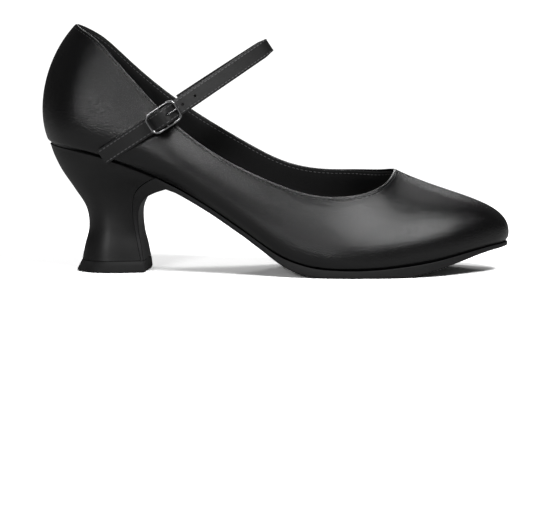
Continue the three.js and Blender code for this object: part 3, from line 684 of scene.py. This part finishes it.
def heel_cover():
    f = Finish("heel_cover")
    soft, fine = f.noise(70, 3), f.noise(2200, 2, 0.6)
    f.set(Base_Color=f.colours(soft, [(0.3, (0.003, 0.003, 0.0032)), (0.7, (0.0065, 0.0065, 0.0068))]),
          Roughness=0.4 + 0.12 * soft + 0.04 * fine, Specular_IOR_Level=0.5,
          Normal=f.bump(fine + soft * 0.6, 0.000025, 0.6))
    return f.material


heel = wear(laid_grid("heel", heel_skin()), heel_cover())
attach(heel, "shoe")
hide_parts("heel_block")

# ---- Top piece ----
# Black rubber tread, 5.7 mm, spreading a little towards the ground, with a rim round a field of
# raised cross ribs. Two pegs hold it to the heel.
RIB_PITCH, RIB_WIDTH, RIB_HEIGHT = 1.62, 0.92, 0.7


def tread_ring(z, grow, front, flare):
    return [(x, y, z) for x, y, _ in heel_ring(HEEL_LEVELS[0], 0, grow, front, flare)]


top_piece = laid_grid("top_piece_rubber", row(np.array([
    tread_ring(TOP_PIECE, -0.5, 1.3, 0), tread_ring(TOP_PIECE, -0.2, 1.5, 0),
    tread_ring(TOP_PIECE - 0.3, 0.1, 1.75, 0.1), tread_ring(TOP_PIECE * 0.6, 0.4, 1.9, 0.8),
    tread_ring(1.2, 0.66, 2.1, 1.7), tread_ring(0.5, 0.7, 2.1, 1.95),
    tread_ring(0.12, 0.55, 2.0, 1.95), tread_ring(0, 0.2, 1.75, 1.9),
    tread_ring(0, -0.9, 0.7, 1.8), tread_ring(0.1, -1.05, 0.6, 1.8),
    tread_ring(0.75, -1.15, 0.5, 1.8)])))


def tread_ribs():
    """The raised ribs, cut to the rim's inside; each runs across the shoe."""
    edge = np.array(tread_ring(0, -1.6, 0.1, 1.7))
    bm = bmesh.new()
    for x in np.arange(edge[:, 0].min() + 1.3, 52.2, RIB_PITCH):
        hits = []
        for (x0, y0, _), (x1, y1, _) in zip(edge, np.roll(edge, -1, 0)):
            if (x0 - x) * (x1 - x) < 0:
                hits.append(y0 + (y1 - y0) * (x - x0) / (x1 - x0))
        if len(hits) < 2:
            continue
        lo, hi = row((x, min(hits), 0.42)), row((x, max(hits), 0.42))
        middle = Vector((lo + hi) / 2)
        spot = Matrix.Translation(middle) @ Matrix.Diagonal(
            (RIB_WIDTH / 1000, hi[1] - lo[1], RIB_HEIGHT / 1000, 1))
        made = bmesh.ops.create_cube(bm, size=1, matrix=spot)
        edges = {e for v in made["verts"] for e in v.link_edges}
        bmesh.ops.bevel(bm, geom=list(edges), offset=0.00018, affect="EDGES", segments=2,
                        profile=0.5, material=-1)
    return finished("top_piece_ribs", bm)


def tread_rubber():
    f = Finish("tread_rubber")
    dust, fine = f.noise(120, 3, 0.6), f.noise(2600, 2)
    f.set(Base_Color=f.colours(dust, [(0.3, (0.006, 0.006, 0.0063)), (0.75, (0.015, 0.015, 0.0155))]),
          Roughness=0.55 + 0.25 * dust, Specular_IOR_Level=0.4,
          Normal=f.bump(fine + dust * 0.5, 0.00005, 0.6))
    return f.material


rubber = tread_rubber()
ribs = tread_ribs()
for piece in (top_piece, ribs):
    wear(piece, rubber)
    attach(piece, "shoe")
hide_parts("top_piece")

# ---- Strap ----
# Slim instep strap, 8.5 mm wide, of two leathers stitched back to back along both edges, with
# punched holes. It is sewn in at the inner topline, arches over the instep, and its free end
# passes under, over and under the buckle and lies against the quarter.
STRAP_WIDTH, STRAP_FACE, STRAP_BACK, STITCH_ROW = 8.5, 1.02, 0.84, 3.15
SPARE_HOLES, HOLE_RADIUS = (10.9, 18.2), 0.75
TILT = math.radians(33.4)
HUB = np.array([63.6, -40, 80.9])
ALONG, ACROSS = (np.array([math.cos(TILT), 0, math.sin(TILT)]),
                 np.array([-math.sin(TILT), 0, math.cos(TILT)]))
STRAP_PATH = [[-37.6, -29.8], [-33, -31.3], [-28, -32.8], [-20, -34.7], [-13, -35.8],
              [-8.3, -37.1], [-4.6, -40], [-2, -42.7], [0, -43.4], [2, -42.7], [4.6, -40],
              [8.3, -37], [13, -35], [20, -31.2], [30, -25.4], [39.5, -19.6], [48.8, -13.4],
              [56.4, -7.6], [60.8, -3.6], [62.6, 0.4], [60.8, 4.6], [55.4, 10.4], [46.6, 16],
              [36.8, 20.4], [27, 24], [18, 26.2], [11.5, 26.9], [7.6, 26.6]]


def local(w, y, v=0.0):
    """A point of the strap's plane in mm: w up the slope from the buckle, y level, v across."""
    w, y, v = np.broadcast_arrays(*(np.asarray(q, float) for q in (w, y, v)))
    p = w[..., None] * ALONG + v[..., None] * ACROSS + np.array([HUB[0], 0, HUB[2]])
    p[..., 1] = y
    return p


def smooth_path(points, spacing):
    """A smooth curve through the points, sampled at even steps, with its directions."""
    p = np.array(points, float)
    n = len(p)
    d = np.concatenate([[0], (np.linalg.norm(np.diff(p, axis=0), axis=1) ** 0.5).cumsum()])
    h = np.diff(d)
    m, rhs = np.eye(n), np.zeros(p.shape)
    for i in range(1, n - 1):
        m[i, i - 1:i + 2] = h[i - 1], 2 * (h[i - 1] + h[i]), h[i]
        rhs[i] = 6 * ((p[i + 1] - p[i]) / h[i] - (p[i] - p[i - 1]) / h[i - 1])
    bend = np.linalg.solve(m, rhs)
    q = np.linspace(0, d[-1], 4000)
    i = np.clip(np.searchsorted(d, q) - 1, 0, n - 2)
    a, b, hh = ((d[i + 1] - q) / h[i])[:, None], ((q - d[i]) / h[i])[:, None], h[i][:, None]
    c = a * p[i] + b * p[i + 1] + ((a ** 3 - a) * bend[i] + (b ** 3 - b) * bend[i + 1]) * hh ** 2 / 6
    gone = np.concatenate([[0], np.linalg.norm(np.diff(c, axis=0), axis=1).cumsum()])
    marks = np.linspace(0, gone[-1], max(2, int(gone[-1] / spacing)) + 1)
    out = np.stack([np.interp(marks, gone, c[:, k]) for k in range(p.shape[1])], 1)
    run = np.gradient(out, axis=0)
    return out, run / np.linalg.norm(run, axis=1)[:, None], marks


strap_line, strap_run, strap_mark = smooth_path(STRAP_PATH, 0.45)
strap_face = np.stack([strap_run[:, 1], -strap_run[:, 0]], 1)


def band_skin(line, face, section):
    """Rings of a band: section is (outward, across) pairs round its cut edge."""
    rings = [local(p[0] + f[0] * section[:, 0], p[1] + f[1] * section[:, 0],
                   section[:, 1] * (1 - 0.13 * float(smoothstep(p[0], 58, 62.4))))
             for p, f in zip(line, face)]
    return row(np.array(rings))


def eased_strip(d0, d1, width, r):
    """A strip's cut edge with rounded corners, as (outward, across) pairs, closed."""
    half, pts = width / 2, []
    for cx, cy, a0 in ((d1 - r, half - r, 0), (d0 + r, half - r, 90), (d0 + r, r - half, 180),
                       (d1 - r, r - half, 270)):
        for a in np.radians(np.linspace(a0, a0 + 90, 5)):
            pts.append((cx + r * math.cos(a), cy + r * math.sin(a)))
    flat = [(d1, v) for v in np.linspace(r - half, half - r, 9)[1:-1]]
    back = [(d0, v) for v in np.linspace(half - r, r - half, 9)[1:-1]]
    pts = pts[:10] + back + pts[10:] + flat
    return np.array(pts + pts[:1])


def punch(piece, cutters):
    """Cuts the joined cutters out of a piece, and keeps the cut mesh."""
    tool = bpy.data.objects.new("punch", bpy.data.meshes.new("punch"))
    bm = bmesh.new()
    for start, end, r0, squeeze in cutters:
        start, end = Vector(row(start)), Vector(row(end))
        run, width_way = end - start, Vector(ACROSS)
        turn = Matrix((width_way.cross(run).normalized(), width_way, run.normalized()))
        spot = Matrix.Translation((start + end) / 2) @ turn.transposed().to_4x4()
        bmesh.ops.create_cone(bm, cap_ends=True, segments=20, radius1=r0 / 1000,
                              radius2=r0 / 1000, depth=run.length,
                              matrix=spot @ Matrix.Diagonal((squeeze, 1, 1, 1)))
    bm.to_mesh(tool.data)
    bm.free()
    bpy.context.scene.collection.objects.link(tool)
    cut = piece.modifiers.new("punch", "BOOLEAN")
    cut.operation, cut.solver, cut.object = "DIFFERENCE", "EXACT", tool
    bpy.context.view_layer.update()
    depsgraph = bpy.context.evaluated_depsgraph_get()
    mesh = bpy.data.meshes.new_from_object(piece.evaluated_get(depsgraph))
    piece.modifiers.clear()
    piece.data = mesh
    bpy.data.objects.remove(tool)
    return piece


def strap_spot(w):
    """The place on the strap w up the slope, on the side that climbs from the buckle."""
    i = int(np.argmax((strap_line[:, 0] >= w) & (strap_mark > 38)))
    return strap_line[i], strap_face[i]


def punched_holes():
    cutters = []
    for w in SPARE_HOLES:
        p, f = strap_spot(w)
        cutters.append((local(p[0] - 2 * f[0], p[1] - 2 * f[1]),
                        local(p[0] + 2 * f[0], p[1] + 2 * f[1]), HOLE_RADIUS, 1))
    cutters.append((local(1.1, -40.6), local(4.3, -43.6), 0.85, 2.7))
    return cutters


strap_leather = grained_leather("strap_leather", (0.004, 0.004, 0.0042), (0.01, 0.01, 0.0104),
                                1700, 0.0001, 0.36, 0.12)
strap_back = grained_leather("strap_backing_leather", (0.005, 0.005, 0.0053), (0.012, 0.012, 0.0125),
                             2100, 0.00007, 0.6, 0.12)
strap = punch(laid_grid("strap_face", band_skin(strap_line, strap_face,
                                                eased_strip(0.02, STRAP_FACE, STRAP_WIDTH, 0.42))),
              punched_holes())
backing = punch(laid_grid("strap_back", band_skin(strap_line, strap_face,
                                                  eased_strip(-STRAP_BACK, 0, STRAP_WIDTH - 0.1,
                                                              0.36))),
                punched_holes())
wear(strap, strap_leather)
wear(backing, strap_back)


def strap_stitches(name, v, d, face_sign):
    marks = np.arange(1.6, strap_mark[-1] - 0.5, 2.35)
    line = np.stack([np.interp(marks, strap_mark, strap_line[:, k]) for k in (0, 1)], 1)
    face = np.stack([np.interp(marks, strap_mark, strap_face[:, k]) for k in (0, 1)], 1)
    run = np.stack([np.interp(marks, strap_mark, strap_run[:, k]) for k in (0, 1)], 1)
    place = row(local(line[:, 0] + face[:, 0] * d, line[:, 1] + face[:, 1] * d, v))
    turned = face[:, :1] * ALONG + face[:, 1:] * np.array([0, 1, 0])
    ran = run[:, :1] * ALONG + run[:, 1:] * np.array([0, 1, 0])
    return wear(stitched(name, place, ran, turned * face_sign, 1.8, 0.22), thread)


strap_parts = [strap, backing]
for side, v in (("upper_edge", STITCH_ROW), ("lower_edge", -STITCH_ROW)):
    strap_parts.append(strap_stitches("strap_stitches_" + side, v, STRAP_FACE, 1))
    strap_parts.append(strap_stitches("strap_back_stitches_" + side, v, -STRAP_BACK, -1))
for piece in strap_parts:
    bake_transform(piece)
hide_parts("strap_outer", "strap_sewn_end")
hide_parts("strap_backing")

# ---- Buckle ----
# Small cast frame with rounded ends, polished nickel, 18 by 12 mm, with a bar across its middle.
WIRE, BAR, HALF_LONG, HALF_WIDE = 0.7, 0.8, 8.3, 5.3


def swept(name, points, radius, sides=14, closed=False, flat=1.0):
    """A rod along points (mm); a closed one meets itself."""
    p = np.array(points, float)
    n = len(p)
    ahead = np.roll(p, -1, 0) - np.roll(p, 1, 0) if closed else np.gradient(p, axis=0)
    ahead /= np.linalg.norm(ahead, axis=1)[:, None]
    out = np.tile(np.array([0, -1.0, 0]), (n, 1)) if abs(ahead[:, 1]).max() < 0.9 else np.tile(
        ACROSS, (n, 1))
    side = np.cross(ahead, out)
    side /= np.linalg.norm(side, axis=1)[:, None]
    out = np.cross(side, ahead)
    q = np.linspace(0, 2 * math.pi, sides + 1)
    r = np.broadcast_to(radius, (n,))[:, None, None]
    rings = (p[:, None] + r * np.cos(q)[None, :, None] * side[:, None]
             + r * flat * np.sin(q)[None, :, None] * out[:, None])
    rings[:, -1] = rings[:, 0]
    if closed:
        rings = np.concatenate([rings, rings[:1]])
    return laid_grid(name, row(rings))


def joined(name, *parts):
    bm = bmesh.new()
    for part in parts:
        bm.from_mesh(part.data)
        bpy.data.objects.remove(part)
    return finished(name, bm)


def buckle_outline(half_l, half_w, corner):
    pts = []
    for a, b, q0 in ((1, 1, 0), (-1, 1, 90), (-1, -1, 180), (1, -1, 270)):
        for q in np.radians(np.linspace(q0, q0 + 90, 14)):
            pts.append((a * (half_l - corner) + corner * math.cos(q),
                        b * (half_w - corner) + corner * math.sin(q)))
    return [local(w, HUB[1], v) for w, v in pts]


def polished_nickel():
    f = Finish("polished_nickel")
    haze, fine = f.noise(300, 3), f.noise(3000, 2)
    f.set(Base_Color=f.colours(haze, [(0.3, (0.22, 0.22, 0.225)), (0.7, (0.34, 0.34, 0.345))]),
          Metallic=1.0, Roughness=0.16 + 0.12 * haze, Normal=f.bump(fine, 0.00001, 0.4))
    return f.material


nickel = polished_nickel()
buckle = wear(joined("buckle", swept("wire", buckle_outline(HALF_LONG, HALF_WIDE, 3.3), WIRE, 14,
                                     True, 0.85),
                     swept("bar", [local(0, HUB[1], v) for v in np.linspace(-5.2, 5.2, 12)], BAR)),
              nickel)
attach(buckle, "buckle")
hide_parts("buckle_frame")

# ---- Prong ----
# Bent nickel pin, 1 mm, its eye round the bar; it comes up through the strap's hole and rests
# on the far end of the frame.
PRONG, EYE_PLAY = 0.5, 0.25


def prong_line():
    eye = BAR + EYE_PLAY + PRONG
    pts = [local(eye * math.sin(math.radians(-d)), HUB[1] - eye * math.cos(math.radians(d)))
           for d in np.linspace(300, 0, 40)]
    return pts + [local(w, HUB[1] - eye + 0.02 * (w / 9)) for w in np.linspace(0.6, 9.5, 16)]


prong_points = prong_line()
prong_radius = np.full(len(prong_points), PRONG)
prong_radius[-4:] = 0.47, 0.43, 0.36, 0.2
prong = wear(swept("prong", prong_points, prong_radius, 12), nickel)
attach(prong, "prong")
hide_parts("buckle_prong")

# ---- Chape ----
# A short leather loop round the buckle's bar, slotted for the prong, its tail sewn in between
# upper and lining at the outer topline.
CHAPE_PATH = [[1.3, -28.9], [2.6, -29.8], [4.2, -31], [4.5, -33.4], [3.4, -36], [2.2, -38.3],
              [1.65, -40], [1.2, -41.2], [0, -41.68], [-1.2, -41.2], [-1.66, -40], [-1.2, -38.4],
              [0.3, -36.6], [1.9, -35]]
chape_line, chape_run, _ = smooth_path(CHAPE_PATH, 0.3)
chape_face = np.stack([chape_run[:, 1], -chape_run[:, 0]], 1)
chape = laid_grid("chape", band_skin(chape_line, chape_face, eased_strip(-0.4, 0.4, 7.4, 0.3)))
chape = wear(punch(chape, [(local(3.4, -39.7), local(-3.4, -39.7), 0.95, 2.4)]), strap_leather)
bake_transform(chape)
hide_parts("buckle_chape", "chape_sewn_end")

# ---- Hidden stiffeners, board, shank and fixings ----
# Thermoplastic counter and puff, fibre insole board, sprung steel shank with two rivets, cork
# filler, and the screw, nails and pegs of the heel.
def plain_stock(name, dark, light, rough, metal=0.0, scale=300.0):
    f = Finish(name)
    n = f.noise(scale, 3, 0.6)
    f.set(Base_Color=f.colours(n, [(0.3, dark), (0.7, light)]), Metallic=metal,
          Roughness=rough + 0.15 * n, Normal=f.bump(n, 0.00005, 0.5))
    return f.material


stock = {
    "stiffener": plain_stock("stiffener_sheet", (0.42, 0.36, 0.26), (0.55, 0.48, 0.36), 0.6),
    "insole_board": plain_stock("fibre_board", (0.3, 0.2, 0.12), (0.42, 0.3, 0.19), 0.8),
    "steel": plain_stock("spring_steel", (0.4, 0.41, 0.42), (0.56, 0.57, 0.58), 0.25, 1.0),
    "rivet_brass": plain_stock("rivet_brass", (0.55, 0.4, 0.2), (0.7, 0.53, 0.28), 0.25, 1.0),
    "cork": plain_stock("cork_sheet", (0.2, 0.12, 0.06), (0.4, 0.27, 0.15), 0.85, 0.0, 900.0),
    "dowel": plain_stock("peg_plastic", (0.02, 0.02, 0.02), (0.04, 0.04, 0.04), 0.5),
}
for entry in frame["record"]["subparts"]:
    if entry["material_slot"] in stock:
        wear(frame["nodes"][entry["node"]], stock[entry["material_slot"]])

# ---- Stage ----
# A white sweep under a broad overhead softbox, with two small ones in front and one behind. The
# sweep and the room are white to the lens and dim to every other ray, as in a flagged studio.
WHITE_LEVEL, DIM_ROOM = 1.15, 0.05
LIT_PAPER, DIM_PAPER = (2.3, 2.3, 2.3, 1), (0.42, 0.42, 0.42, 1)


def sweep_paper():
    f = Finish("sweep_paper")
    seen = f.node("ShaderNodeLightPath", out=0)
    away = f.node("ShaderNodeVectorMath", {"operation": "LENGTH"}, {0: f.place}, "Value")
    lit = f.node("ShaderNodeBsdfDiffuse", {}, {"Color": LIT_PAPER})
    white = f.node("ShaderNodeEmission", {}, {"Strength": WHITE_LEVEL}, "Emission")
    bright = f.node("ShaderNodeMixShader", {}, {0: away.step(0.3, 0.5), 1: lit, 2: white})
    dim = f.node("ShaderNodeBsdfDiffuse", {}, {"Color": DIM_PAPER})
    mixed = f.node("ShaderNodeMixShader", {}, {0: seen, 1: dim, 2: bright})
    f.tree.links.new(mixed.socket, f.tree.nodes["Material Output"].inputs["Surface"])
    return f.material


def sweep():
    bm = bmesh.new()
    bmesh.ops.create_grid(bm, x_segments=1, y_segments=1, size=1.6)
    bmesh.ops.translate(bm, verts=bm.verts, vec=(0, 0, -0.0002))
    return wear(finished("sweep", bm), sweep_paper())


sweep()


def soft_light(name, place, aim, size, watts, depth=None):
    light = bpy.data.lights.new(name, "AREA")
    light.shape, light.size, light.size_y = "RECTANGLE", size, depth or size
    light.energy = watts
    lamp = bpy.data.objects.new(name, light)
    lamp.location = place
    lamp.rotation_euler = (Vector(aim) - Vector(place)).to_track_quat("-Z", "Y").to_euler()
    bpy.context.scene.collection.objects.link(lamp)


soft_light("overhead", (0.0, 0.45, 1.15), (0, 0, 0.03), 0.9, 4, 0.4)
soft_light("front_high", (0.5, -0.8, 1.12), (0.06, -0.03, 0.03), 0.42, 14, 0.34)
soft_light("front_low", (-0.5, -1.15, 0.46), (-0.09, -0.02, 0.08), 0.3, 4.2, 0.2)
soft_light("behind", (0.1, 1.3, 0.75), (0, 0.02, 0.05), 0.5, 3.5, 0.3)
world = bpy.data.worlds.new("room")
world.use_nodes = True
grey = world.node_tree.nodes["Background"]
grey.inputs[0].default_value = (1, 1, 1, 1)
grey.inputs[1].default_value = DIM_ROOM
white = world.node_tree.nodes.new("ShaderNodeBackground")
white.inputs[0].default_value, white.inputs[1].default_value = (1, 1, 1, 1), WHITE_LEVEL
path = world.node_tree.nodes.new("ShaderNodeLightPath")
either = world.node_tree.nodes.new("ShaderNodeMixShader")
for a, b in ((path.outputs["Is Camera Ray"], either.inputs[0]), (grey.outputs[0], either.inputs[1]),
             (white.outputs[0], either.inputs[2]),
             (either.outputs[0], world.node_tree.nodes["World Output"].inputs[0])):
    world.node_tree.links.new(a, b)
bpy.context.scene.world = world
bpy.context.scene.view_settings.view_transform = "Standard"

lens = bpy.data.cameras.new("camera")
lens.lens, lens.sensor_width = 178.2, 36
camera = bpy.data.objects.new("camera", lens)
eye, target = Vector((-0.0006, -1.3977, 0.157)), Vector((-0.0006, 0.0023, 0.0035))
camera.location = eye
camera.rotation_euler = (target - eye).to_track_quat("-Z", "Y").to_euler()
bpy.context.scene.collection.objects.link(camera)
bpy.context.scene.camera = camera
